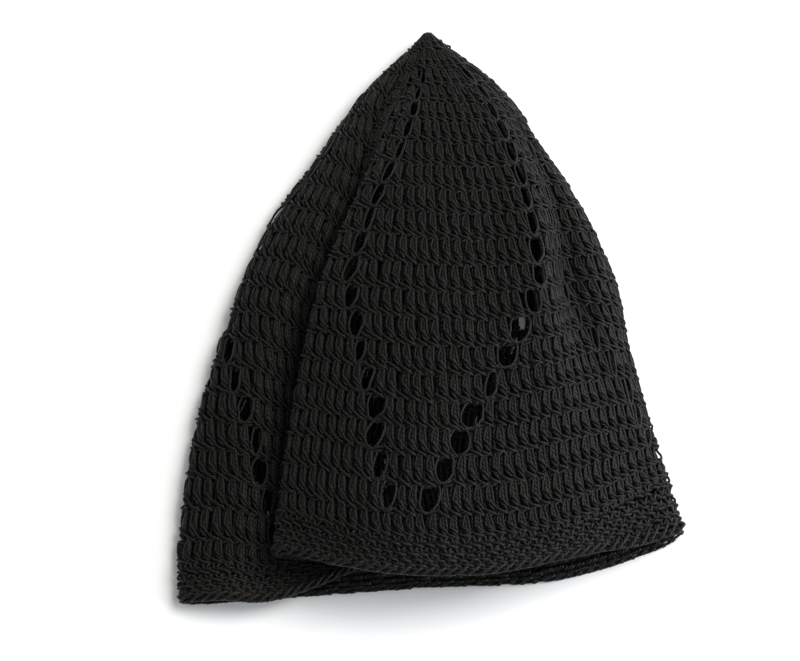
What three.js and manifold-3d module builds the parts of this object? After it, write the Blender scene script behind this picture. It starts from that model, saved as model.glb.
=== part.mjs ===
// Crocheted kufi cap, lying flat on its back with its tip pointing along +Y and
// its rim towards -Y. Millimetres, +Z up, the surface that it lies on is z = 0.
// The cap is one cloth of crochet, worked from the tip down to the rim. Rounds are
// numbered from the tip: 21 rounds of tall stitches, then a band of short ones.
import * as THREE from 'three';
import Module from 'manifold-3d';

// Driving sizes
const wall = 2.4; // thickness of the crochet
const tallRounds = 21; // rounds of tall stitches, from the tip to the band
const bandEnd = 25.4; // last round of the band, counted in tall rounds
const rimRound = 26; // the chained edge ends here
const nodeGap = 0.3; // clear space between crown, band and edge round
const edgeBead = 0.5; // how much thicker the chained edge is than the wall
const apexX = -1.3; // where the tip lies
const apexY = 114.39;
const solidTip = 1.3; // rounds at the tip that are closed solid
const firstRing = 0.35; // round of the outer wall's first ring
const tipRise = 0.6; // how far the tip stands out over that ring's middle
const hollowRise = 1.5; // the same for the tip of the hollow
const crownRings = 20; // rings of facets down the crown, one for each round
const bandRings = 3;

// Eyelets: two slanting lines of gaps beside each of the four leaf shapes
const leaves = 4;
const firstEyeletRound = 6;
const lastEyeletRound = 20;
const eyeletStitches = 1.4; // width of a gap, in stitches
const eyeletOpen = 0.8; // the clear share of that width
const eyeletHeight = 0.55; // height of a gap, in rounds
const eyeletCentre = 0.42; // its middle, in rounds above the foot of the round
const blockDepth = 1.5; // how deep its block reaches, in walls

// Stitches in each repeat, for the rounds with eyelets: those of the leaf, and
// those between it and the next leaf.
const patternColumns = ['round', 'leaf', 'between'];
const pattern = [
  [6, 9, 2], [7, 10, 2], [8, 12, 2], [9, 13, 2], [10, 14, 2], [11, 15, 2], [12, 15, 2],
  [13, 14, 4], [14, 13, 6], [15, 11, 8], [16, 9, 11], [17, 7, 14], [18, 6, 16],
  [19, 4, 18], [20, 2, 21],
];

// How the cloth lies. Each row is one round of the cap, as a closed loop around it.
// across: x of the left edge, of the fold's visible edge, of the fold's hidden depth,
// of the crest, ridge, valley and right edge.
const acrossColumns = ['round', 'left', 'fold', 'tuck', 'crest', 'ridge', 'valley', 'right'];
const across = [
  [0, 0, 0, 0, 0, 0, 0, 0],
  [3, -23.5, -8, -4, 8, 18, 22.5, 25],
  [4.5, -33, -12, -5, 10, 25.5, 31, 34],
  [6, -42, -16, -4.5, 10.5, 31, 37, 41.5],
  [9, -61, -28.5, 2.5, 8.5, 40, 48, 58.5],
  [12, -74.5, -40.5, 12, 4.7, 43, 51.5, 70.8],
  [15, -84, -47, 19, 0.7, 46, 60, 75.7],
  [18, -90.5, -51.5, 26, -5, 50, 72, 83.2],
  [21, -92.7, -55.5, 31, -10, 54, 78, 88.8],
  [26, -91.5, -57, 31.5, -11.5, 56, 82, 95],
];

// reach: how far each place of the round lies from the tip, towards the rim.
const reachColumns = ['round', 'left', 'groove', 'fold', 'crest', 'ridge', 'valley', 'right', 'back'];
const reach = [
  [0, 0, 0, 0, 0, 0, 0, 0, 0],
  [3, 24.7, 29, 25.4, 26.8, 25, 23, 21.1, 23.5],
  [4.5, 38, 46, 37.5, 40, 38, 35.5, 33, 36.5],
  [6, 51.9, 64, 51, 54.4, 51.6, 48.5, 46.3, 50],
  [9, 80.6, 97, 80, 85.3, 82.3, 77.5, 74.2, 78.5],
  [12, 114.2, 125.4, 110.2, 117.8, 115.5, 107.4, 104.2, 112],
  [15, 146.9, 155, 139.4, 149.8, 143.4, 135.4, 131.7, 143.5],
  [18, 180, 185, 167.8, 180.8, 172.5, 164.5, 161, 174],
  [21, 213.9, 215.5, 198.2, 210.6, 201.3, 186.4, 179.6, 204],
  [26, 228.3, 229, 213.8, 223.9, 214.4, 207.2, 201.2, 221.5],
];

// rise: height of the wall's middle at each place, how far the groove dips below the
// left part, and the step between the layers of the fold.
const riseColumns = ['round', 'back', 'edge', 'left', 'dip', 'step', 'crest', 'ridge', 'valley', 'flank'];
const rise = [
  [0, 6, 6, 6, 0, 0, 6, 6, 6, 6],
  [3, 1.15, 5, 11, 0, 0.9, 17, 14, 10, 8],
  [4.5, 1.15, 4.6, 13.5, 1.5, 3.2, 22.5, 19, 13, 10],
  [6, 1.15, 4.2, 15, 3, 4.4, 27, 23, 15, 12],
  [9, 1.15, 4.2, 16.5, 5, 5.2, 34, 30, 18, 15],
  [12, 1.15, 4.2, 15.5, 6, 5.6, 38, 35, 19, 17],
  [15, 1.15, 4.2, 13.5, 5.5, 5.5, 38, 33, 20, 15],
  [18, 1.15, 4.2, 11.5, 4, 5.3, 36, 28, 16, 11],
  [21, 1.15, 4.2, 10, 2.5, 5.2, 32, 23, 12, 9],
  [26, 1.15, 4.2, 9.5, 1.5, 5.2, 28, 19, 11, 8],
];

// Value of one named column at any round, on a smooth curve through the table
function columnAt(table, columns, name, round) {
  const column = columns.indexOf(name);
  const knots = table.map((entry) => entry[0]);
  let k = 0;
  while (k < knots.length - 2 && round > knots[k + 1]) k += 1;
  const slope = (i) => {
    const a = Math.max(i - 1, 0);
    const b = Math.min(i + 1, knots.length - 1);
    return (table[b][column] - table[a][column]) / (knots[b] - knots[a]);
  };
  const span = knots[k + 1] - knots[k];
  const t = (round - knots[k]) / span;
  const t2 = t * t;
  const t3 = t2 * t;
  return (2 * t3 - 3 * t2 + 1) * table[k][column] + (t3 - 2 * t2 + t) * span * slope(k)
    + (3 * t2 - 2 * t3) * table[k + 1][column] + (t3 - t2) * span * slope(k + 1);
}

const mix = (a, b, share) => a + (b - a) * share;

// How the cloth turns at its edges
const tipRounds = 3; // its turns grow to full size over these rounds
const foldTurn = 0.45; // reach of the fold's two turns, in steps between its layers
const edgeTurn = 6; // reach of the turn under the left and right edges
const grooveTurn = 3; // how far the groove lies beside the fold
const foldStart = 4; // depth at which the fold is wholly laid over

// The closed loop of one round. It starts on the crest and runs to the right, round
// the back, over the left part, and through the fold back to the crest.
function roundLoop(round) {
  const x = (name) => columnAt(across, acrossColumns, name, round);
  const d = (name) => columnAt(reach, reachColumns, name, round);
  const z = (name) => columnAt(rise, riseColumns, name, round);
  const full = Math.min(1, round / tipRounds); // small turns shrink towards the tip
  const turn = foldTurn * z('step');
  const roundEdge = edgeTurn * full;
  const inner = x('fold') + x('tuck');
  const open = THREE.MathUtils.clamp(x('tuck') / foldStart, -1, 1); // -1 unfolded, 1 folded
  const groove = Math.min(inner, x('fold')) - grooveTurn * full;
  const hidden = (share) => mix(d('groove'), d('fold'), share);
  const step = z('step');
  const low = z('left');
  const middle = mix(x('left'), x('right'), 0.5);
  // Each point is x, reach and height. A share places it between two named places.
  const loop = [
    [x('crest'), d('crest'), z('crest')],
    [mix(x('crest'), x('ridge'), 0.5), mix(d('crest'), d('ridge'), 0.1), mix(z('crest'), z('ridge'), 0.3)],
    [x('ridge'), d('ridge'), z('ridge')],
    [x('valley'), d('valley'), z('valley')],
    [mix(x('valley'), x('right'), 0.6), mix(d('valley'), d('right'), 0.6), z('flank')],
    [x('right'), d('right'), z('edge')],
    [x('right') - roundEdge, mix(d('right'), d('back'), 0.2), z('back')],
    [mix(x('right'), middle, 0.5), mix(d('right'), d('back'), 0.86), z('back')],
    [middle, d('back'), z('back')],
    [mix(x('left'), middle, 0.5), mix(d('left'), d('back'), 0.5), z('back')],
    [x('left') + roundEdge, mix(d('left'), d('back'), 0.05), z('back')],
    [x('left'), d('left'), z('edge')],
    [mix(x('left'), groove, 0.5), mix(d('left'), d('groove'), 0.5), low],
    [groove, d('groove'), low - z('dip')],
    [inner - turn, hidden(0.75), low + 0.1 * step],
    [inner, hidden(0.8), low + 0.5 * step],
    [inner - turn * open, hidden(0.85), low + 0.9 * step],
    [x('fold') + turn * open, hidden(0.985), low + 1.1 * step],
    [x('fold'), hidden(0.993), low + 1.5 * step],
    [x('fold') + turn, d('fold'), low + 1.9 * step],
    [mix(x('fold'), x('crest'), 0.5), mix(d('fold'), d('crest'), 0.6), mix(low + 2 * step, z('crest'), 0.72)],
  ];
  const points = loop.map(([px, pd, pz]) => new THREE.Vector3(apexX + px, apexY - pd, pz));
  return new THREE.CatmullRomCurve3(points, true, 'centripetal');
}

// How many facets each stretch of the loop gets, more where the cloth turns
const facets = [3, 3, 3, 2, 2, 3, 2, 3, 2, 3, 3, 3, 3, 3, 2, 2, 3, 2, 2, 3, 3];

function loopPoints(round) {
  const curve = roundLoop(round);
  const points = [];
  facets.forEach((count, k) => {
    for (let i = 0; i < count; i += 1) {
      points.push(curve.getPoint((k + i / count) / facets.length));
    }
  });
  return points;
}

// Outward direction of the cloth at each point of a round
function loopNormals(round) {
  const stepUp = 0.25;
  const firstRound = 0.05;
  const above = loopPoints(Math.max(round - stepUp, firstRound));
  const below = loopPoints(Math.min(round + stepUp, rimRound));
  const here = loopPoints(round);
  const count = here.length;
  return here.map((_, j) => {
    const along = new THREE.Vector3().subVectors(here[(j + 1) % count], here[(j + count - 1) % count]);
    const down = new THREE.Vector3().subVectors(below[j], above[j]);
    return new THREE.Vector3().crossVectors(down, along).normalize();
  });
}

// One skin of the wall at each listed round: offset 1 is outside, -1 inside
function skin(rounds, offset, thickness) {
  return rounds.map((round) => {
    const normals = loopNormals(round);
    return loopPoints(round).map((point, j) => {
      const moved = point.clone().addScaledVector(normals[j], (offset * thickness) / 2);
      moved.z = Math.max(moved.z, 0);
      return moved;
    });
  });
}

// A closed wall between two skins. A tip closes a skin at its first ring.
function wallGeometry(outer, inner, outerTip, innerTip) {
  const positions = [];
  const faces = [];
  const place = (point) => positions.push(point.x, point.y, point.z) / 3 - 1;
  const ring = (points) => points.map(place);
  const count = outer[0].length;
  const strip = (a, b, flip) => {
    for (let j = 0; j < count; j += 1) {
      const k = (j + 1) % count;
      if (flip) faces.push(a[j], a[k], b[k], a[j], b[k], b[j]);
      else faces.push(a[j], b[k], a[k], a[j], b[j], b[k]);
    }
  };
  const cap = (tip, a, flip) => {
    const centre = place(tip);
    for (let j = 0; j < count; j += 1) {
      const k = (j + 1) % count;
      if (flip) faces.push(centre, a[k], a[j]);
      else faces.push(centre, a[j], a[k]);
    }
  };
  const outerRings = outer.map(ring);
  const innerRings = inner.map(ring);
  for (let i = 1; i < outerRings.length; i += 1) strip(outerRings[i - 1], outerRings[i], false);
  for (let i = 1; i < innerRings.length; i += 1) strip(innerRings[i - 1], innerRings[i], true);
  strip(outerRings.at(-1), innerRings.at(-1), false);
  if (outerTip) {
    cap(outerTip, outerRings[0], false);
    cap(innerTip, innerRings[0], true);
  } else {
    strip(outerRings[0], innerRings[0], true);
  }
  const geometry = new THREE.BufferGeometry();
  geometry.setAttribute('position', new THREE.Float32BufferAttribute(positions, 3));
  geometry.setIndex(faces);
  return geometry;
}

function material(name) {
  const yarn = new THREE.MeshStandardMaterial({ color: 0x1d1d1b, roughness: 0.78, metalness: 0 });
  yarn.name = name;
  return yarn;
}

// Boolean cuts
const solids = await Module();
solids.setup();

function toSolid(geometry) {
  const mesh = new solids.Mesh({
    numProp: 3,
    vertProperties: new Float32Array(geometry.getAttribute('position').array),
    triVerts: new Uint32Array(geometry.index.array),
  });
  mesh.merge();
  return new solids.Manifold(mesh);
}

function toGeometry(solid) {
  const mesh = solid.getMesh();
  const geometry = new THREE.BufferGeometry();
  geometry.setAttribute('position', new THREE.Float32BufferAttribute(mesh.vertProperties, 3));
  geometry.setIndex(Array.from(mesh.triVerts));
  return geometry;
}

function evenLoop(round) {
  const curve = roundLoop(round);
  curve.arcLengthDivisions = 600;
  return curve;
}

// A block across the wall at one place of the pattern. turns counts repeats from the
// middle of the front leaf, positive to the right.
function eyeletBlock(round, turns, stitchesAround) {
  const curve = evenLoop(round);
  const length = curve.getLength();
  const share = ((turns / leaves) % 1 + 1) % 1;
  const centre = curve.getPointAt(share);
  const along = curve.getTangentAt(share);
  const stretch = 0.2; // rounds over which the height of a round is taken
  const above = evenLoop(round - stretch);
  const up = new THREE.Vector3().subVectors(above.getPointAt(share), centre);
  const roundHeight = up.length() / stretch;
  const out = new THREE.Vector3().crossVectors(along, up).normalize();
  const width = (length / stitchesAround) * eyeletStitches * eyeletOpen;
  const block = new THREE.BoxGeometry(width, eyeletHeight * roundHeight, wall * blockDepth);
  const upright = new THREE.Vector3().crossVectors(out, along);
  block.applyMatrix4(new THREE.Matrix4().makeBasis(along, upright, out).setPosition(centre));
  block.deleteAttribute('uv');
  block.deleteAttribute('normal');
  return toSolid(block);
}

function eyeletBlocks() {
  const blocks = [];
  for (const entry of pattern) {
    const [round, leaf, between] = patternColumns.map((name) => entry[patternColumns.indexOf(name)]);
    if (round < firstEyeletRound || round > lastEyeletRound) continue;
    const repeat = leaf + between + 2 * eyeletStitches;
    const side = (leaf + eyeletStitches) / 2 / repeat;
    for (let leafNumber = 0; leafNumber < leaves; leafNumber += 1) {
      for (const sign of [-1, 1]) {
        blocks.push(eyeletBlock(round - eyeletCentre, leafNumber + sign * side, repeat * leaves));
      }
    }
  }
  return blocks;
}

function range(from, to, steps) {
  return Array.from({ length: steps + 1 }, (_, i) => mix(from, to, i / steps));
}

function meanPoint(points) {
  const sum = points.reduce((total, point) => total.add(point), new THREE.Vector3());
  return sum.divideScalar(points.length);
}

// Half the gap between nodes, in rounds, above and below the foot of the tall rounds.
// The heights are the smallest ones of a round there, in the fold.
const tallHeight = 7;
const bandHeight = 1.6;
const gapAbove = nodeGap / tallHeight / 2;
const gapBelow = nodeGap / bandHeight / 2;

function crown() {
  const last = tallRounds - gapAbove;
  const outerRounds = [firstRing, ...range(1, last, crownRings)];
  const innerRounds = [solidTip, ...range(2, last, crownRings - 1)];
  const outer = skin(outerRounds, 1, wall);
  const inner = skin(innerRounds, -1, wall);
  const tip = new THREE.Vector3(apexX, apexY + tipRise, columnAt(rise, riseColumns, 'crest', 0));
  const innerTip = meanPoint(inner[0]);
  innerTip.y += hollowRise;
  const shell = toSolid(wallGeometry(outer, inner, tip, innerTip));
  return toGeometry(shell.subtract(solids.Manifold.union(eyeletBlocks())));
}

function band() {
  const rounds = range(tallRounds + gapBelow, bandEnd - gapBelow, bandRings);
  return wallGeometry(skin(rounds, 1, wall), skin(rounds, -1, wall));
}

function edgeRound() {
  const rounds = range(bandEnd + gapBelow, rimRound, 1);
  const thickness = wall + edgeBead;
  return wallGeometry(skin(rounds, 1, thickness), skin(rounds, -1, thickness));
}

const cap = new THREE.Group();
cap.name = 'kufi_cap';
for (const [name, geometry] of [['crown', crown()], ['band', band()], ['edge_round', edgeRound()]]) {
  const mesh = new THREE.Mesh(geometry, material(name));
  mesh.name = name;
  cap.add(mesh);
}

export default cap;
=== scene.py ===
import math

import bpy
import numpy as np
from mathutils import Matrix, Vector


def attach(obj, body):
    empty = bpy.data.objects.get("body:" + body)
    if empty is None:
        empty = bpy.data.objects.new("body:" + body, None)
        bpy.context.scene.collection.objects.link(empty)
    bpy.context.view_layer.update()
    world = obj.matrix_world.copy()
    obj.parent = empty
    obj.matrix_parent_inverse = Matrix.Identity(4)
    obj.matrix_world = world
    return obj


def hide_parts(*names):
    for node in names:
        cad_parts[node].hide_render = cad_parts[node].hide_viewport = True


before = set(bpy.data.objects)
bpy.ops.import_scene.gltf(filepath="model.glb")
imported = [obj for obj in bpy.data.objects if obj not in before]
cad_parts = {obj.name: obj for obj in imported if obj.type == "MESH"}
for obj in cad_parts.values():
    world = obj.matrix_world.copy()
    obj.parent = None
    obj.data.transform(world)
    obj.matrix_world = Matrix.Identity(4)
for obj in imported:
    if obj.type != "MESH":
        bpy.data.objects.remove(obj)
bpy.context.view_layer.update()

mm = 0.001
tiny = 1e-9  # the least length that anything is divided by

# Camera at the photo's angle: from the rim's side, looking well down on the cap
cameraPlace = dict(
    elevation=71.0,  # degrees above the floor
    lens=180.0,
    pictureWidth=302.0,  # mm that the picture spans at the cap
    target=(-12.1, -10.95, 15.0),  # mm
    farLimit=20,  # metres
)


def makeCamera(place):
    data = bpy.data.cameras.new("camera")
    data.lens = place["lens"]
    data.clip_end = place["farLimit"]
    camera = bpy.data.objects.new("camera", data)
    bpy.context.scene.collection.objects.link(camera)
    distance = place["pictureWidth"] * mm * place["lens"] / data.sensor_width
    tilt = math.radians(place["elevation"])
    back = Vector((0, -math.cos(tilt), math.sin(tilt)))
    camera.location = Vector(place["target"]) * mm + back * distance
    camera.rotation_euler = (math.radians(90 - place["elevation"]), 0, 0)
    bpy.context.scene.camera = camera


makeCamera(cameraPlace)
print("camera placed")

# What all pieces of the cap share. Rounds are counted from the tip.
leaves = 4  # repeats of the pattern around the cap
tallRounds = 21  # rounds of tall stitches
bandEnd = 25.4  # the band's last round ends here, counted in tall rounds
rimRound = 26  # and the chained edge here
rimStitches = 108  # stitches around the rim

# How the cloth lies, in mm. Each round is a closed loop over a few named places, and each
# list below gives one place at the rounds in the first list.
tip = dict(x=-1.3, y=114.39)
# across: how far right of the tip each place lies. tuck is the fold's hidden depth.
across = dict(
    round=[0, 3, 4.5, 6, 9, 12, 15, 18, 21, 26],
    left=[0, -23.5, -33, -42, -61, -74.5, -84, -90.5, -92.7, -91.5],
    fold=[0, -8, -12, -16, -28.5, -40.5, -47, -51.5, -55.5, -57],
    tuck=[0, -4, -5, -4.5, 2.5, 12, 19, 26, 31, 31.5],
    crest=[0, 8, 10, 10.5, 8.5, 4.7, 0.7, -5, -10, -11.5],
    ridge=[0, 18, 25.5, 31, 40, 43, 46, 50, 54, 56],
    valley=[0, 22.5, 31, 37, 48, 51.5, 60, 72, 78, 82],
    right=[0, 25, 34, 41.5, 58.5, 70.8, 75.7, 83.2, 88.8, 95],
)
# reach: how far each place lies from the tip, towards the rim
reach = dict(
    round=across["round"],
    left=[0, 24.7, 38, 51.9, 80.6, 114.2, 146.9, 180, 213.9, 228.3],
    groove=[0, 29, 46, 64, 97, 125.4, 155, 185, 215.5, 229],
    fold=[0, 25.4, 37.5, 51, 80, 110.2, 139.4, 167.8, 198.2, 213.8],
    crest=[0, 26.8, 40, 54.4, 85.3, 117.8, 149.8, 180.8, 210.6, 223.9],
    ridge=[0, 25, 38, 51.6, 82.3, 115.5, 143.4, 172.5, 201.3, 214.4],
    valley=[0, 23, 35.5, 48.5, 77.5, 107.4, 135.4, 164.5, 186.4, 207.2],
    right=[0, 21.1, 33, 46.3, 74.2, 104.2, 131.7, 161, 179.6, 201.2],
    back=[0, 23.5, 36.5, 50, 78.5, 112, 143.5, 174, 204, 221.5],
)
# rise: height above the floor. dip is how far the groove lies below the left part, and
# step is the height from one layer of the fold to the next.
rise = dict(
    round=across["round"],
    back=[6, 1.15, 1.15, 1.15, 1.15, 1.15, 1.15, 1.15, 1.15, 1.15],
    edge=[6, 5, 4.6, 4.2, 4.2, 4.2, 4.2, 4.2, 4.2, 4.2],
    left=[6, 11, 13.5, 15, 16.5, 15.5, 13.5, 11.5, 10, 9.5],
    dip=[0, 0, 1.5, 3, 5, 6, 5.5, 4, 2.5, 1.5],
    step=[0, 0.9, 3.2, 4.4, 5.2, 5.6, 5.5, 5.3, 5.2, 5.2],
    crest=[6, 17, 22.5, 27, 34, 38, 38, 36, 32, 28],
    ridge=[6, 14, 19, 23, 30, 35, 33, 28, 23, 19],
    valley=[6, 10, 13, 15, 18, 19, 20, 16, 12, 11],
    flank=[6, 8, 10, 12, 15, 17, 15, 11, 9, 8],
)
turns = dict(
    tipRounds=3,  # the turns grow to full size over these rounds
    fold=0.45,  # reach of the fold's two turns, in steps between its layers
    edge=6,  # mm under the left and right edges
    groove=3,  # mm that the groove lies beside the fold
    foldStart=4,  # mm of tuck at which the fold is wholly laid over
)


def spanWeights(t):
    # weights of a smooth span: its start, the slope there, its end and the slope there
    return 2 * t**3 - 3 * t**2 + 1, t**3 - 2 * t**2 + t, 3 * t**2 - 2 * t**3, t**3 - t**2


def columnAt(table, name, rounds):
    # a smooth curve through one list of a table
    knots = np.array(table["round"], float)
    values = np.array(table[name], float)
    slopes = np.empty(len(knots))
    slopes[1:-1] = (values[2:] - values[:-2]) / (knots[2:] - knots[:-2])
    slopes[0] = (values[1] - values[0]) / (knots[1] - knots[0])
    slopes[-1] = (values[-1] - values[-2]) / (knots[-1] - knots[-2])
    k = np.clip(np.searchsorted(knots, rounds, side="right") - 1, 0, len(knots) - 2)
    span = knots[k + 1] - knots[k]
    start, leave, end, arrive = spanWeights((rounds - knots[k]) / span)
    return (
        start * values[k]
        + leave * span * slopes[k]
        + end * values[k + 1]
        + arrive * span * slopes[k + 1]
    )


def columnsAt(table, rounds):
    return {name: columnAt(table, name, rounds) for name in table if name != "round"}


def mix(a, b, share):
    return a + (b - a) * share


def roundLoops(rounds):
    # control points of each round's closed loop, starting on the crest and going right
    x = columnsAt(across, rounds)
    d = columnsAt(reach, rounds)
    z = columnsAt(rise, rounds)
    full = np.minimum(1, rounds / turns["tipRounds"])
    step = z["step"]
    turn = turns["fold"] * step
    roundEdge = turns["edge"] * full
    inner = x["fold"] + x["tuck"]
    folded = np.clip(x["tuck"] / turns["foldStart"], -1, 1)  # -1 open, 1 laid over
    groove = np.minimum(inner, x["fold"]) - turns["groove"] * full
    low = z["left"]
    middle = (x["left"] + x["right"]) / 2

    def hidden(share):
        return mix(d["groove"], d["fold"], share)

    # Each point is across, reach and rise. A share places it between two named places.
    loop = [
        (x["crest"], d["crest"], z["crest"]),
        (mix(x["crest"], x["ridge"], 0.5), mix(d["crest"], d["ridge"], 0.1),
         mix(z["crest"], z["ridge"], 0.3)),
        (x["ridge"], d["ridge"], z["ridge"]),
        (x["valley"], d["valley"], z["valley"]),
        (mix(x["valley"], x["right"], 0.6), mix(d["valley"], d["right"], 0.6), z["flank"]),
        (x["right"], d["right"], z["edge"]),
        (x["right"] - roundEdge, mix(d["right"], d["back"], 0.2), z["back"]),
        (mix(x["right"], middle, 0.5), mix(d["right"], d["back"], 0.86), z["back"]),
        (middle, d["back"], z["back"]),
        (mix(x["left"], middle, 0.5), mix(d["left"], d["back"], 0.5), z["back"]),
        (x["left"] + roundEdge, mix(d["left"], d["back"], 0.05), z["back"]),
        (x["left"], d["left"], z["edge"]),
        (mix(x["left"], groove, 0.5), mix(d["left"], d["groove"], 0.5), low),
        (groove, d["groove"], low - z["dip"]),
        (inner - turn, hidden(0.75), low + 0.1 * step),
        (inner, hidden(0.8), low + 0.5 * step),
        (inner - turn * folded, hidden(0.85), low + 0.9 * step),
        (x["fold"] + turn * folded, hidden(0.985), low + 1.1 * step),
        (x["fold"], hidden(0.993), low + 1.5 * step),
        (x["fold"] + turn, d["fold"], low + 1.9 * step),
        (mix(x["fold"], x["crest"], 0.5), mix(d["fold"], d["crest"], 0.6),
         mix(low + 2 * step, z["crest"], 0.72)),
    ]
    points = np.stack([np.stack(place, -1) for place in loop], 1)
    return np.stack([tip["x"] + points[..., 0], tip["y"] - points[..., 1], points[..., 2]], -1)


leastGap = 1e-6  # mm between two control points, which meet at the tip


def smoothLoop(points, perSpan):
    # centripetal curve through a closed list of points
    count = len(points)
    before, here, there, after = [
        points[(np.arange(count) + shift) % count] for shift in (-1, 0, 1, 2)
    ]

    def gapBetween(a, b):
        return (np.maximum(np.linalg.norm(b - a, axis=1), leastGap) ** 0.5)[:, None]

    gapIn = gapBetween(before, here)
    gap = gapBetween(here, there)
    gapOut = gapBetween(there, after)
    leaving = (here - before) / gapIn - (there - before) / (gapIn + gap) + (there - here) / gap
    arriving = (there - here) / gap - (after - here) / (gap + gapOut) + (after - there) / gapOut
    start, leave, end, arrive = spanWeights((np.arange(perSpan) / perSpan)[None, :, None])
    curve = (
        start * here[:, None]
        + leave * (leaving * gap)[:, None]
        + end * there[:, None]
        + arrive * (arriving * gap)[:, None]
    )
    return curve.reshape(-1, 3)


clothGrid = dict(
    perRound=8,  # rows of the grid in each round
    around=900,  # places along each row
    curveSteps=40,  # steps of the curve from one control point to the next
    firstRow=0.02,  # round of the first row, just off the tip
)


def makeCloth(size):
    # the cloth's surface as an even grid: rounds down it, equal lengths around it
    rounds = np.linspace(0, rimRound, rimRound * size["perRound"] + 1)
    rounds[0] = size["firstRow"]
    rows = []
    for points in roundLoops(rounds):
        curve = smoothLoop(points, size["curveSteps"])
        closed = np.vstack([curve, curve[:1]])
        steps = np.linalg.norm(np.diff(closed, axis=0), axis=1)
        along = np.concatenate([[0], np.cumsum(steps)])
        places = np.linspace(0, along[-1], size["around"], endpoint=False)
        rows.append(np.stack([np.interp(places, along, closed[:, i]) for i in range(3)], -1))
    print("cloth surface ready, rim", round(along[-1]), "mm around")
    surface = np.array(rows)
    alongRound = np.roll(surface, -2, 1) - np.roll(surface, 2, 1)
    downRounds = np.gradient(surface, axis=0)
    out = np.cross(downRounds, alongRound)
    out /= np.maximum(np.linalg.norm(out, axis=2, keepdims=True), tiny)
    return dict(surface=surface, out=out, **size)


cloth = makeCloth(clothGrid)


def gridRead(values, repeats, rounds):
    # value of a grid at any place. repeats are counted from the middle of the front leaf.
    column = (np.asarray(repeats) / leaves % 1) * cloth["around"]
    rowLimit = values.shape[0] - 1.001  # just short of the last row
    row = np.clip(np.asarray(rounds) * cloth["perRound"], 0, rowLimit)
    left = np.floor(column).astype(int) % cloth["around"]
    right = (left + 1) % cloth["around"]
    upper = np.floor(row).astype(int)
    acrossShare = (column - np.floor(column))[..., None]
    downShare = (row - upper)[..., None]
    top = values[upper, left] * (1 - acrossShare) + values[upper, right] * acrossShare
    foot = values[upper + 1, left] * (1 - acrossShare) + values[upper + 1, right] * acrossShare
    return top * (1 - downShare) + foot * downShare


def onCloth(repeats, rounds, height):
    # a point at a height in mm over the middle of the cloth
    place = gridRead(cloth["surface"], repeats, rounds)
    out = gridRead(cloth["out"], repeats, rounds)
    return place + out * np.asarray(height)[..., None]


# Yarn: tubes swept along strands, several strands of one kind at a time
yarn = dict(
    floorClear=0.05,  # mm that the lowest yarn keeps from the floor
    tipClear=0.05,  # rounds at the tip that it keeps out of
    firstSide=(0.31, 0.52, 0.8),  # any direction that no strand starts in
    startSpread=40,  # mm over which the twist of the strands starts at random
    seed=11,
)


def splineWeights(controls, points):
    # weights that turn a strand's control points into a smooth line
    weights = np.zeros((points, controls))
    for i, t in enumerate(np.linspace(0, controls - 1, points)):
        k = min(int(t), controls - 2)
        f = t - k
        basis = (-0.5 * f**3 + f**2 - 0.5 * f, 1.5 * f**3 - 2.5 * f**2 + 1,
                 -1.5 * f**3 + 2 * f**2 + 0.5 * f, 0.5 * f**3 - 0.5 * f**2)
        for shift, weight in zip((-1, 0, 1, 2), basis):
            weights[i, min(max(k + shift, 0), controls - 1)] += weight
    return weights


def sweep(lines, radius, sides):
    # lines is [strand, point, xyz] in mm. Returns the tubes' vertices and, for each point,
    # the length of yarn up to it.
    count, points, _ = lines.shape
    along = np.gradient(lines, axis=1)
    along /= np.maximum(np.linalg.norm(along, axis=2, keepdims=True), tiny)
    side = np.cross(along[:, 0], np.array(yarn["firstSide"]))
    sideways = np.empty_like(lines)
    for i in range(points):
        side = side - np.sum(side * along[:, i], 1, keepdims=True) * along[:, i]
        side /= np.maximum(np.linalg.norm(side, axis=1, keepdims=True), tiny)
        sideways[:, i] = side
    other = np.cross(along, sideways)
    angles = np.arange(sides) / sides * 2 * math.pi
    ring = (
        sideways[:, :, None] * np.cos(angles)[None, None, :, None]
        + other[:, :, None] * np.sin(angles)[None, None, :, None]
    )
    centres = lines.copy()
    centres[..., 2] = np.maximum(centres[..., 2], radius + yarn["floorClear"])
    vertices = centres[:, :, None] + ring * radius
    vertices[..., 2] = np.maximum(vertices[..., 2], yarn["floorClear"])
    steps = np.linalg.norm(np.diff(lines, axis=1), axis=2)
    length = np.concatenate([np.zeros((count, 1)), np.cumsum(steps, axis=1)], 1)
    return vertices, length


def tubeQuads(index):
    # the four corners of each face along the tubes
    following = np.roll(index, -1, 2)
    corners = [index[:, :-1], following[:, :-1], following[:, 1:], index[:, 1:]]
    return np.stack(corners, -1).reshape(-1, 4)


def tubeUvs(length, sides):
    # the same corners: share of a turn around the yarn, and mm along it
    shape = (len(length), length.shape[1] - 1, sides)
    u = np.arange(sides + 1) / sides
    low = np.broadcast_to(u[None, None, :-1], shape)
    high = np.broadcast_to(u[None, None, 1:], shape)
    first = np.broadcast_to(length[:, :-1, None], shape)
    last = np.broadcast_to(length[:, 1:, None], shape)
    corners = [(low, first), (high, first), (high, last), (low, last)]
    return np.stack([np.stack(corner, -1) for corner in corners], -2).reshape(-1, 2)


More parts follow.
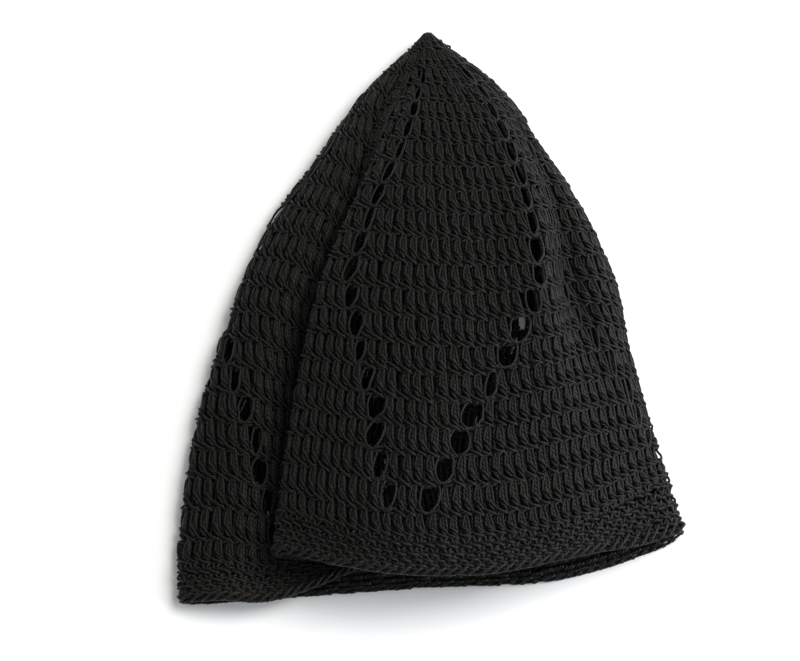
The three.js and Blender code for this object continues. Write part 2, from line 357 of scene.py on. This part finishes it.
def yarnMesh(name, tubes, material):
    # joins the tubes of many strands in one mesh, closed at their ends
    vertexParts = []
    quadParts = []
    endParts = []
    uvParts = []
    base = 0
    rng = np.random.default_rng(yarn["seed"])
    for vertices, length in tubes:
        count, points, sides, _ = vertices.shape
        index = base + np.arange(count * points * sides).reshape(count, points, sides)
        start = rng.uniform(0, yarn["startSpread"], count)[:, None] + length
        vertexParts.append(vertices.reshape(-1, 3))
        quadParts.append(tubeQuads(index))
        endParts.append(np.concatenate([index[:, 0, ::-1], index[:, -1]]))
        uvParts.append(tubeUvs(start, sides))
        base += count * points * sides
    vertices = np.concatenate(vertexParts) * mm
    quads = np.concatenate(quadParts)
    endLoops = np.concatenate([part.reshape(-1) for part in endParts])
    endTotals = np.concatenate([np.full(len(part), part.shape[1]) for part in endParts])
    loops = np.concatenate([quads.reshape(-1), endLoops])
    totals = np.concatenate([np.full(len(quads), 4), endTotals])
    starts = np.concatenate([[0], np.cumsum(totals)[:-1]])
    mesh = bpy.data.meshes.new(name)
    mesh.vertices.add(len(vertices))
    mesh.vertices.foreach_set("co", vertices.astype(np.float32).ravel())
    mesh.loops.add(len(loops))
    mesh.loops.foreach_set("vertex_index", loops.astype(np.int32))
    mesh.polygons.add(len(totals))
    mesh.polygons.foreach_set("loop_start", starts.astype(np.int32))
    mesh.polygons.foreach_set("loop_total", totals.astype(np.int32))
    mesh.polygons.foreach_set("use_smooth", np.ones(len(totals), bool))
    mesh.update(calc_edges=True)
    uvs = np.zeros((len(loops), 2))
    uvs[: quads.size] = np.concatenate(uvParts)
    layer = mesh.uv_layers.new(name="alongYarn")
    layer.data.foreach_set("uv", uvs.astype(np.float32).ravel())
    mesh.validate()
    mesh.materials.append(material)
    piece = bpy.data.objects.new(name, mesh)
    bpy.context.scene.collection.objects.link(piece)
    return piece


# The yarn's finish, with shade and light painted along its plies
yarnLook = dict(
    color=(0.0087, 0.0083, 0.0075),
    paintedGrooveShade=0.5,  # of that colour: painted shade in the grooves between the plies
    paintedPlyLight=1.25,  # and painted light on top of them
    roughness=0.42,
    gloss=0.14,
    fuzz=0.03,  # pale sheen of loose fibres
    fuzzRoughness=0.45,
    plies=3,
    pitch=5.0,  # mm along the yarn for one turn of a ply
    plyCurve=0.6,  # less is a rounder ply with a narrower groove
    fibreScale=4200,  # fine hairs
    fibreDetail=2,
    fibreHeight=0.35,  # beside a ply's height of 1
    patchScale=60,  # the dye's slow change from place to place
    patchDetail=3,
    patchStart=0.55,
    patchRange=0.8,
    bump=0.8,
    bumpDepth=0.0003,
)


def yarnMaterial(name, look):
    material = bpy.data.materials.new(name)
    material.use_nodes = True
    nodes = material.node_tree.nodes
    links = material.node_tree.links
    shader = nodes["Principled BSDF"]
    shader.inputs["Roughness"].default_value = look["roughness"]
    shader.inputs["Specular IOR Level"].default_value = look["gloss"]
    shader.inputs["Sheen Weight"].default_value = look["fuzz"]
    shader.inputs["Sheen Roughness"].default_value = look["fuzzRoughness"]

    def maths(operation, *values):
        node = nodes.new("ShaderNodeMath")
        node.operation = operation
        for i, value in enumerate(values):
            if isinstance(value, (int, float)):
                node.inputs[i].default_value = value
            else:
                links.new(value, node.inputs[i])
        return node.outputs[0]

    def noise(scale, detail):
        node = nodes.new("ShaderNodeTexNoise")
        node.inputs["Scale"].default_value = scale
        node.inputs["Detail"].default_value = detail
        links.new(ownPlace.outputs["Object"], node.inputs["Vector"])
        return node.outputs["Fac"]

    # plies that wind around the yarn: their bumps, and painted shade in their grooves with painted
    # light on their tops
    place = nodes.new("ShaderNodeUVMap")
    place.uv_map = "alongYarn"
    parts = nodes.new("ShaderNodeSeparateXYZ")
    links.new(place.outputs["UV"], parts.inputs[0])
    around = maths("MULTIPLY", parts.outputs["X"], look["plies"])
    along = maths("DIVIDE", parts.outputs["Y"], look["pitch"] / look["plies"])
    twist = maths("ADD", around, along)
    wave = maths("ABSOLUTE", maths("SINE", maths("MULTIPLY", twist, math.pi)))
    ply = maths("POWER", wave, look["plyCurve"])

    ownPlace = nodes.new("ShaderNodeTexCoord")
    fibre = noise(look["fibreScale"], look["fibreDetail"])
    patch = noise(look["patchScale"], look["patchDetail"])

    # sockets 6 and 7 are the two colours that it mixes, and its output 2 the result
    color = nodes.new("ShaderNodeMix")
    color.data_type = "RGBA"
    color.inputs[6].default_value = [c * look["paintedGrooveShade"] for c in look["color"]] + [1]
    color.inputs[7].default_value = [c * look["paintedPlyLight"] for c in look["color"]] + [1]
    patchShade = maths("ADD", look["patchStart"], maths("MULTIPLY", patch, look["patchRange"]))
    # the ply wave paints shade into the grooves and light onto the ply tops; patch is the dye's own
    # change from place to place
    links.new(maths("MULTIPLY", ply, patchShade), color.inputs[0])
    links.new(color.outputs[2], shader.inputs["Base Color"])

    bump = nodes.new("ShaderNodeBump")
    bump.inputs["Strength"].default_value = look["bump"]
    bump.inputs["Distance"].default_value = look["bumpDepth"]
    height = maths("ADD", ply, maths("MULTIPLY", fibre, look["fibreHeight"]))
    links.new(height, bump.inputs["Height"])
    links.new(bump.outputs["Normal"], shader.inputs["Normal"])
    return material


crownYarn = yarnMaterial("crown yarn", yarnLook)
bandYarn = yarnMaterial("band yarn", yarnLook)
edgeYarn = yarnMaterial("edge yarn", yarnLook)
print("yarn finish ready")

# Stitches. A strand is a list of places: across the stitch in stitch widths, down the
# round in rounds, and height in mm over the middle of the cloth, outside positive.
strandShake = 0.5  # how far one place of a strand strays, beside its whole stitch

tallStitch = dict(
    shake=(0.045, 0.024, 0.14),  # how uneven the hand is, in the same three units
    lean=0.10,  # how far a stitch leans over its height, in stitch widths
    strands=[
        # the post's body
        dict(radius=1.28, sides=6, points=6, line=[
            (0.34, -0.05, -0.6), (0.40, 0.12, -0.24), (0.48, 0.38, -0.16), (0.60, 0.64, -0.22),
            (0.72, 0.88, -0.4)]),
        # its two legs, one strand that turns over at the top
        dict(radius=0.46, sides=5, points=11, line=[
            (0.38, 0.66, 0.1), (0.20, 0.46, 0.70), (0.16, 0.24, 0.80), (0.24, 0.06, 0.78),
            (0.42, 0.01, 0.85), (0.56, 0.12, 1.05), (0.64, 0.32, 1.12), (0.78, 0.54, 0.85),
            (0.92, 0.70, 0.1)]),
        # the wrap across it
        dict(radius=0.48, sides=5, points=7, line=[
            (0.06, 0.44, -0.2), (0.22, 0.50, 0.75), (0.50, 0.60, 1.30), (0.78, 0.71, 1.20),
            (0.96, 0.80, 0.40), (1.02, 0.86, -0.3)]),
        # the end of its legs, where the hook drew them together
        dict(radius=0.46, sides=5, points=6, line=[
            (0.30, 0.62, 0.0), (0.40, 0.70, 0.85), (0.62, 0.80, 1.10), (0.84, 0.88, 0.70),
            (0.92, 0.94, 0.0)]),
        # the two loops of its head, chained to the next
        dict(radius=0.50, sides=5, points=8, line=[
            (-0.14, 0.80, 0.1), (0.10, 0.86, 1.00), (0.52, 0.96, 1.40), (0.92, 1.04, 1.05),
            (1.16, 1.09, 0.0)]),
        dict(radius=0.48, sides=5, points=6, line=[
            (1.14, 0.90, -0.6), (0.92, 0.98, 0.45), (0.60, 1.06, 0.90), (0.34, 1.11, 0.50),
            (0.16, 1.13, -0.5)]),
        # what shows from inside
        dict(radius=0.78, sides=5, points=4, line=[
            (-0.08, 0.94, -0.80), (0.45, 0.99, -1.15), (1.08, 0.94, -0.80)]),
        dict(radius=0.92, sides=5, points=5, line=[
            (-0.10, -0.04, -0.85), (-0.03, 0.30, -1.00), (0.08, 0.62, -1.00), (0.18, 0.94, -0.85)]),
    ],
)
shortStitch = dict(
    shake=(0.05, 0.06, 0.12),
    lean=0.08,
    strands=[
        # its body, along the round
        dict(radius=1.05, sides=6, points=4, line=[
            (-0.10, 0.45, -0.45), (0.50, 0.52, -0.40), (1.10, 0.45, -0.45)]),
        # its two legs, which meet below
        dict(radius=0.54, sides=5, points=6, line=[
            (0.14, -0.10, -0.1), (0.22, 0.10, 0.80), (0.38, 0.38, 1.00), (0.50, 0.64, 0.1)]),
        dict(radius=0.54, sides=5, points=6, line=[
            (0.92, -0.10, -0.1), (0.82, 0.10, 0.75), (0.66, 0.38, 0.90), (0.54, 0.64, 0.0)]),
        # its head
        dict(radius=0.56, sides=5, points=7, line=[
            (-0.12, 0.62, -0.2), (0.12, 0.74, 0.90), (0.48, 0.86, 1.30), (0.82, 0.96, 1.00),
            (1.04, 1.04, -0.1)]),
    ],
)
chainStitch = dict(
    shake=(0.05, 0.10, 0.08),
    lean=0.04,
    strands=[
        # the loop that shows, leaning up over the band
        dict(radius=0.62, sides=6, points=9, line=[
            (-0.22, 1.00, -0.6), (-0.02, 0.98, 0.70), (0.34, 0.50, 1.45), (0.74, -0.35, 1.55),
            (1.02, -1.00, 1.05), (1.16, -1.30, 0.0)]),
        # its other strand, along the rim
        dict(radius=0.52, sides=5, points=8, line=[
            (-0.20, 0.70, -0.9), (0.10, 1.00, -0.55), (0.50, 1.00, 0.05), (0.86, 0.95, -0.15),
            (1.12, 0.70, -0.8)]),
        # its back
        dict(radius=0.85, sides=5, points=4, line=[
            (-0.10, 0.30, -0.55), (0.50, 0.35, -0.60), (1.10, 0.30, -0.55)]),
    ],
)
eyeletBar = dict(
    shake=(0.07, 0.05, 0.18),
    lean=0.08,
    strands=[
        # the chain across the foot of a gap
        dict(radius=0.52, sides=5, points=9, line=[
            (-0.20, 0.84, 0.2), (0.05, 0.90, 0.85), (0.35, 1.02, 0.70), (0.70, 1.00, 0.80),
            (1.00, 0.92, 0.60), (1.20, 0.88, 0.0)]),
        dict(radius=0.52, sides=5, points=9, line=[
            (-0.20, 0.96, -0.4), (0.10, 1.05, 0.30), (0.40, 0.94, 0.20), (0.75, 1.10, 0.30),
            (1.00, 1.02, 0.25), (1.20, 0.96, -0.4)]),
        dict(radius=0.60, sides=5, points=7, line=[
            (-0.15, 0.94, -0.7), (0.25, 1.02, -0.50), (0.60, 0.98, -0.55), (1.15, 0.96, -0.7)]),
        # the yarn that rounds its two sides
        dict(radius=0.46, sides=5, points=8, line=[
            (0.24, -0.02, 0.3), (0.07, 0.16, 0.80), (0.03, 0.45, 0.85), (0.08, 0.72, 0.90),
            (0.26, 0.92, 0.95), (0.46, 1.00, 0.70)]),
        dict(radius=0.50, sides=5, points=8, line=[
            (0.70, -0.03, 0.3), (0.92, 0.14, 0.95), (0.97, 0.42, 1.10), (0.93, 0.70, 1.05),
            (0.76, 0.90, 0.95), (0.56, 1.02, 0.60)]),
    ],
)


def layStitches(stitches, kind, seed):
    # stitches is [repeats at its left, round at its top, width in repeats, height in rounds]
    stitches = np.array(stitches, float)
    count = len(stitches)
    rng = np.random.default_rng(seed)
    shift = rng.normal(0, 1, (count, 1, 3)) * np.array(kind["shake"])
    lean = rng.normal(0, kind["lean"], (count, 1))
    tubes = []
    for strand in kind["strands"]:
        line = np.array(strand["line"])
        shake = rng.normal(0, strandShake, (count, len(line), 3)) * np.array(kind["shake"])
        controls = line[None] + shift + shake
        controls[..., 0] += lean * (line[:, 1] - 0.5)  # about the stitch's middle
        weights = splineWeights(len(line), strand["points"])
        local = np.einsum("pc,scx->spx", weights, controls)
        repeats = stitches[:, 0, None] + local[..., 0] * stitches[:, 2, None]
        rounds = stitches[:, 1, None] + local[..., 1] * stitches[:, 3, None]
        lines = onCloth(repeats, np.clip(rounds, yarn["tipClear"], rimRound), local[..., 2])
        tubes.append(sweep(lines, strand["radius"], strand["sides"]))
    return tubes


def evenRound(count, top, height):
    # stitches all around the cap, as layStitches takes them
    width = leaves / count
    return [(i * width, top, width, height) for i in range(count)]


def spread(start, end, count, top):
    # stitches side by side between two places of a round
    width = (end - start) / count
    return [(start + i * width, top, width, 1) for i in range(count)]


def addPiece(name, stitches, kind, seed, material, node):
    piece = yarnMesh(name, layStitches(stitches, kind, seed), material)
    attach(piece, "root")
    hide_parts(node)
    triangles = sum(face.loop_total - 2 for face in piece.data.polygons)
    print(piece.name, triangles, "triangles")


# The crown: stitches of a leaf, and between two leaves, in each tall round
crown = dict(
    plainStart={1: 12, 2: 24},  # stitches all around, before the leaves begin
    leaf={3: 5, 4: 7, 5: 8, 6: 9, 7: 10, 8: 12, 9: 13, 10: 14, 11: 15, 12: 15,
          13: 14, 14: 13, 15: 11, 16: 9, 17: 7, 18: 6, 19: 4, 20: 2},
    between={3: 1, 4: 1, 5: 2, 6: 2, 7: 2, 8: 2, 9: 2, 10: 2, 11: 2, 12: 2,
             13: 4, 14: 6, 15: 8, 16: 11, 17: 14, 18: 16, 19: 18, 20: 21},
    eyelet=1.4,  # room for a gap and its chains, in stitches
    gapLeft={3: 0.9, 8: 1.0, 12: 1.2, 17: 1.4, 20: 1.9},  # stitches open left of a leaf
    gapRight={3: 0.8, 9: 0.95, 12: 1.3, 14: 1.9, 20: 2.0},  # and right of it, by round
    gapShare=[1, 0.5, 0.3, 0.85],  # how far each leaf's gaps are pulled open
    gapUneven=0.16,  # how much one gap differs from the next
    seeds=dict(gaps=21, leaf=100, between=200, tip=300, lastRound=301, eyelets=302),
)


def crownStitches(plan):
    # for each leaf: its own stitches, those between it and the next, and all eyelets
    leafStitches = [[] for _ in range(leaves)]
    betweenStitches = [[] for _ in range(leaves)]
    eyelets = []
    rng = np.random.default_rng(plan["seeds"]["gaps"])
    share = np.array(plan["gapShare"])[:, None]
    for number, leafCount in plan["leaf"].items():
        betweenCount = plan["between"][number]
        stitch = 1 / (leafCount + betweenCount + 2 * plan["eyelet"])
        side = (leafCount + plan["eyelet"]) / 2 * stitch
        half = {}
        for name in ("gapLeft", "gapRight"):
            knots = plan[name]
            half[name] = np.interp(number, list(knots), list(knots.values())) / 2 * stitch
        pull = share * rng.normal(1, plan["gapUneven"], (leaves, 2))
        top = number - 1
        for leaf in range(leaves):
            leftGap = half["gapLeft"] * pull[leaf, 0]
            rightGap = half["gapRight"] * pull[leaf, 1]
            nextGap = half["gapLeft"] * pull[(leaf + 1) % leaves, 0]
            left = leaf - side
            right = leaf + side
            nextLeft = leaf + 1 - side
            leafStitches[leaf] += spread(left + leftGap, right - rightGap, leafCount, top)
            betweenStitches[leaf] += spread(
                right + rightGap, nextLeft - nextGap, betweenCount, top)
            eyelets.append((left - leftGap, top, 2 * leftGap, 1))
            eyelets.append((right - rightGap, top, 2 * rightGap, 1))
    return leafStitches, betweenStitches, eyelets


def makeCrown(plan):
    def add(name, stitches, kind, seed):
        addPiece(name, stitches, kind, seed, crownYarn, "crown")

    seeds = plan["seeds"]
    leafStitches, betweenStitches, eyelets = crownStitches(plan)
    for leaf in range(leaves):
        add(f"crown_leaf_{leaf + 1}", leafStitches[leaf], tallStitch, seeds["leaf"] + leaf)
        add(f"crown_between_{leaf + 1}", betweenStitches[leaf], tallStitch,
            seeds["between"] + leaf)
    tipStitches = []
    for number, count in plan["plainStart"].items():
        tipStitches += evenRound(count, number - 1, 1)
    lastRound = evenRound(rimStitches, tallRounds - 1, 1)
    add("crown_tip", tipStitches, tallStitch, seeds["tip"])
    add("crown_last_round", lastRound, tallStitch, seeds["lastRound"])
    add("eyelet_chains", eyelets, eyeletBar, seeds["eyelets"])


makeCrown(crown)
print("crown laid")

# The band: close rounds of short stitches
band = dict(
    rounds=5,
    offset=0.5,  # stitches that every second round is moved by
    seed=400,
)


def makeBand(plan):
    height = (bandEnd - tallRounds) / plan["rounds"]
    stitches = []
    for number in range(plan["rounds"]):
        shift = (number % 2) * plan["offset"] * leaves / rimStitches
        top = tallRounds + number * height
        for start, _, width, _ in evenRound(rimStitches, top, height):
            stitches.append((start + shift, top, width, height))
    addPiece("band", stitches, shortStitch, plan["seed"], bandYarn, "band")


makeBand(band)
print("band laid")

# The edge: one chained round
edge = dict(seed=500)


def makeEdge(plan):
    stitches = evenRound(rimStitches, bandEnd, rimRound - bandEnd)
    addPiece("edge_round", stitches, chainStitch, plan["seed"], edgeYarn, "edge_round")


makeEdge(edge)
print("edge laid")

# Floor and light
studio = dict(
    floorSize=6.0,  # metres
    floorColor=(0.95, 0.95, 0.95, 1),
    floorRoughness=0.9,
    floorGloss=0.1,
    skyColor=(1, 1, 1, 1),
    sky=0.42,
    key=dict(energy=23, size=0.8, place=(1.32, -0.12, 0.30), color=(0.84, 0.92, 1.0)),
    fill=dict(energy=28, size=1.1, place=(0.85, 0.45, 1.25), color=(1.0, 0.985, 0.965)),
)


def makeFloor(setting):
    half = setting["floorSize"] / 2
    corners = [(-half, -half, 0), (half, -half, 0), (half, half, 0), (-half, half, 0)]
    mesh = bpy.data.meshes.new("floor")
    mesh.from_pydata(corners, [], [(0, 1, 2, 3)])
    floor = bpy.data.objects.new("floor", mesh)
    bpy.context.scene.collection.objects.link(floor)
    material = bpy.data.materials.new("pale floor")
    material.use_nodes = True
    shader = material.node_tree.nodes["Principled BSDF"]
    shader.inputs["Base Color"].default_value = setting["floorColor"]
    shader.inputs["Roughness"].default_value = setting["floorRoughness"]
    shader.inputs["Specular IOR Level"].default_value = setting["floorGloss"]
    mesh.materials.append(material)


def makeLight(name, lamp):
    data = bpy.data.lights.new(name, "AREA")
    data.energy = lamp["energy"]
    data.size = lamp["size"]
    data.color = lamp["color"]
    light = bpy.data.objects.new(name, data)
    light.location = lamp["place"]
    light.rotation_euler = (-Vector(lamp["place"])).to_track_quat("-Z", "Y").to_euler()
    bpy.context.scene.collection.objects.link(light)


def makeSky(setting):
    world = bpy.data.worlds.new("studio")
    world.use_nodes = True
    sky = world.node_tree.nodes["Background"]
    sky.inputs["Color"].default_value = setting["skyColor"]
    sky.inputs["Strength"].default_value = setting["sky"]
    bpy.context.scene.world = world
    bpy.context.scene.view_settings.view_transform = "Standard"


makeFloor(studio)
makeLight("key", studio["key"])
makeLight("fill", studio["fill"])
makeSky(studio)
print("studio ready")
